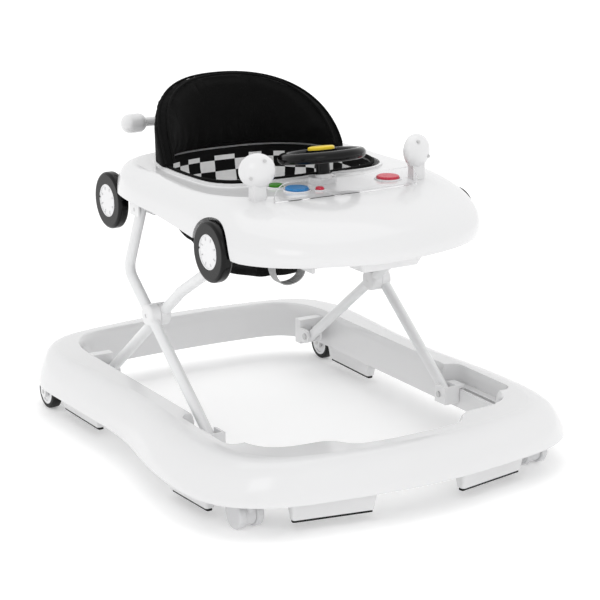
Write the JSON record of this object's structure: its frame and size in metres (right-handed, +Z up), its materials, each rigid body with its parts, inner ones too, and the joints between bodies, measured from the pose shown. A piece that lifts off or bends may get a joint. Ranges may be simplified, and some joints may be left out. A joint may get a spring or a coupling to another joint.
{
  "type": "baby walker",
  "caption": "Car-shaped baby walker: white ring base on castors, scissor frame with height setting, play tray with steering wheel and mirrors, sling seat and padded backrest.",
  "frame": {"origin": "on the floor under the middle of the base ring", "axes": "+Z up, the walker drives towards -Y, +X is the left hand of the seated child"},
  "size_m": [0.6126, 0.774, 0.523],
  "materials": {
    "white_shell": "gloss",
    "white_fittings": "gloss",
    "painted_tube": "gloss",
    "steel": "gloss",
    "white_caps": "gloss",
    "wheel_rubber": "matte",
    "grey_castor": "matte",
    "grip_rubber": "matte",
    "black_gloss": "gloss",
    "clear_screen": "gloss",
    "yellow_plastic": "gloss",
    "green_plastic": "gloss",
    "blue_plastic": "gloss",
    "red_plastic": "gloss",
    "black_fabric": "matte",
    "check_fabric": "matte",
    "grey_webbing": "matte"
  },
  "bodies": {
    "base": {"base_shell": "white_shell", "rear_bracket_left": "white_fittings", "rear_bracket_right": "white_fittings", "rear_wheel_fork_left": "white_fittings", "rear_wheel_fork_right": "white_fittings", "rear_axles": "steel", "front_pad_holders": "white_fittings", "side_pad_holders": "white_fittings", "rear_pad_holders": "white_fittings", "front_grip_strips": "grip_rubber", "side_grip_strips": "grip_rubber", "rear_grip_strips": "grip_rubber", "rear_hinge_bolts": "steel"},
    "rear_wheel_left": {"rear_hub_left": "white_caps", "rear_tyre_left": "wheel_rubber"},
    "castor_left": {"castor_fork_left": "grey_castor"},
    "castor_wheel_left": {"castor_wheels_left": "grey_castor"},
    "rear_wheel_right": {"rear_hub_right": "white_caps", "rear_tyre_right": "wheel_rubber"},
    "castor_right": {"castor_fork_right": "grey_castor"},
    "castor_wheel_right": {"castor_wheels_right": "grey_castor"},
    "front_legs": {"front_leg_tube_left": "painted_tube", "front_leg_tube_right": "painted_tube", "hub_inner_left": "white_fittings", "hub_inner_right": "white_fittings", "hub_pins": "white_fittings", "front_cross_rod": "steel"},
    "rear_legs": {"rear_leg_tube_left": "painted_tube", "rear_leg_tube_right": "painted_tube", "hub_outer_left": "white_fittings", "hub_outer_right": "white_fittings", "rear_top_pins": "steel"},
    "sliders": {"slider_block_left": "white_fittings", "slider_block_right": "white_fittings", "slider_pins": "steel"},
    "tray": {"body_shell": "white_shell", "tray_pan": "white_fittings", "leg_sockets": "white_fittings", "height_racks": "white_fittings", "battery_box": "white_fittings", "car_tyre_front_left": "black_gloss", "car_tyre_front_right": "black_gloss", "car_tyre_rear_left": "black_gloss", "car_tyre_rear_right": "black_gloss", "mirror_left": "white_shell", "mirror_right": "white_shell", "hubcaps": "white_caps", "mirror_screws": "steel", "windscreen": "clear_screen", "turret": "white_shell", "push_bar": "white_shell", "seat_sling": "check_fabric", "backrest": "black_fabric", "seat_strap": "grey_webbing"},
    "steering": {"steering_wheel": "black_gloss"},
    "horn": {"horn_button": "yellow_plastic"},
    "green_button": {"green_button": "green_plastic"},
    "blue_button": {"blue_button": "blue_plastic"},
    "small_red_button": {"small_red_button": "red_plastic"},
    "large_red_button": {"large_red_button": "red_plastic"}
  },
  "joints": [
    {"name": "rear_wheel_spin_left", "type": "hinge", "parent": "base", "child": "rear_wheel_left", "pos_m": [0.251, 0.301, 0.027], "axis": [1, 0, 0], "continuous": true},
    {"name": "castor_swivel_left", "type": "hinge", "parent": "base", "child": "castor_left", "pos_m": [0.237, -0.299, 0.046], "axis": [0, 0, 1], "continuous": true},
    {"name": "castor_wheel_spin_left", "type": "hinge", "parent": "castor_left", "child": "castor_wheel_left", "pos_m": [0.237, -0.288, 0.021], "axis": [1, 0, 0], "continuous": true},
    {"name": "rear_wheel_spin_right", "type": "hinge", "parent": "base", "child": "rear_wheel_right", "pos_m": [-0.251, 0.301, 0.027], "axis": [1, 0, 0], "continuous": true},
    {"name": "castor_swivel_right", "type": "hinge", "parent": "base", "child": "castor_right", "pos_m": [-0.237, -0.299, 0.046], "axis": [0, 0, 1], "continuous": true},
    {"name": "castor_wheel_spin_right", "type": "hinge", "parent": "castor_right", "child": "castor_wheel_right", "pos_m": [-0.237, -0.288, 0.021], "axis": [1, 0, 0], "continuous": true},
    {"name": "height_fold", "type": "hinge", "parent": "base", "child": "front_legs", "pos_m": [0, 0.227, 0.068], "axis": [1, 0, 0], "range_deg": [0, 18.5]},
    {"name": "scissor_crossing", "type": "hinge", "parent": "front_legs", "child": "rear_legs", "pos_m": [0, 0.0485, 0.20497], "axis": [1, 0, 0], "range_deg": [-37, 0]},
    {"name": "slider_pivot", "type": "hinge", "parent": "rear_legs", "child": "sliders", "pos_m": [0, -0.13001, 0.068], "axis": [1, 0, 0], "range_deg": [0, 18.5]},
    {"name": "tray_pivot", "type": "hinge", "parent": "rear_legs", "child": "tray", "pos_m": [0, 0.104, 0.351], "axis": [1, 0, 0], "range_deg": [0, 27.75]},
    {"name": "steering_turn", "type": "hinge", "parent": "tray", "child": "steering", "pos_m": [0, -0.098, 0.446], "axis": [0, 0.1736, 0.9848], "range_deg": [-90, 90]},
    {"name": "horn_press", "type": "slide", "parent": "steering", "child": "horn", "axis": [0, -0.1736, -0.9848], "range_m": [0, 0.002], "stiffness_N_per_m": 300, "springref_m": -0.001},
    {"name": "green_press", "type": "slide", "parent": "tray", "child": "green_button", "axis": [0, 0, -1], "range_m": [0, 0.002], "stiffness_N_per_m": 300, "springref_m": -0.001},
    {"name": "blue_press", "type": "slide", "parent": "tray", "child": "blue_button", "axis": [0, 0, -1], "range_m": [0, 0.002], "stiffness_N_per_m": 300, "springref_m": -0.001},
    {"name": "small_red_press", "type": "slide", "parent": "tray", "child": "small_red_button", "axis": [0, 0, -1], "range_m": [0, 0.002], "stiffness_N_per_m": 300, "springref_m": -0.001},
    {"name": "large_red_press", "type": "slide", "parent": "tray", "child": "large_red_button", "axis": [0, 0, -1], "range_m": [0, 0.002], "stiffness_N_per_m": 300, "springref_m": -0.001}
  ],
  "couplings": [
    {"joint": "scissor_crossing", "follows": "height_fold", "ratio": -2},
    {"joint": "slider_pivot", "follows": "height_fold", "ratio": 1},
    {"joint": "tray_pivot", "follows": "height_fold", "ratio": 1.5}
  ]
}
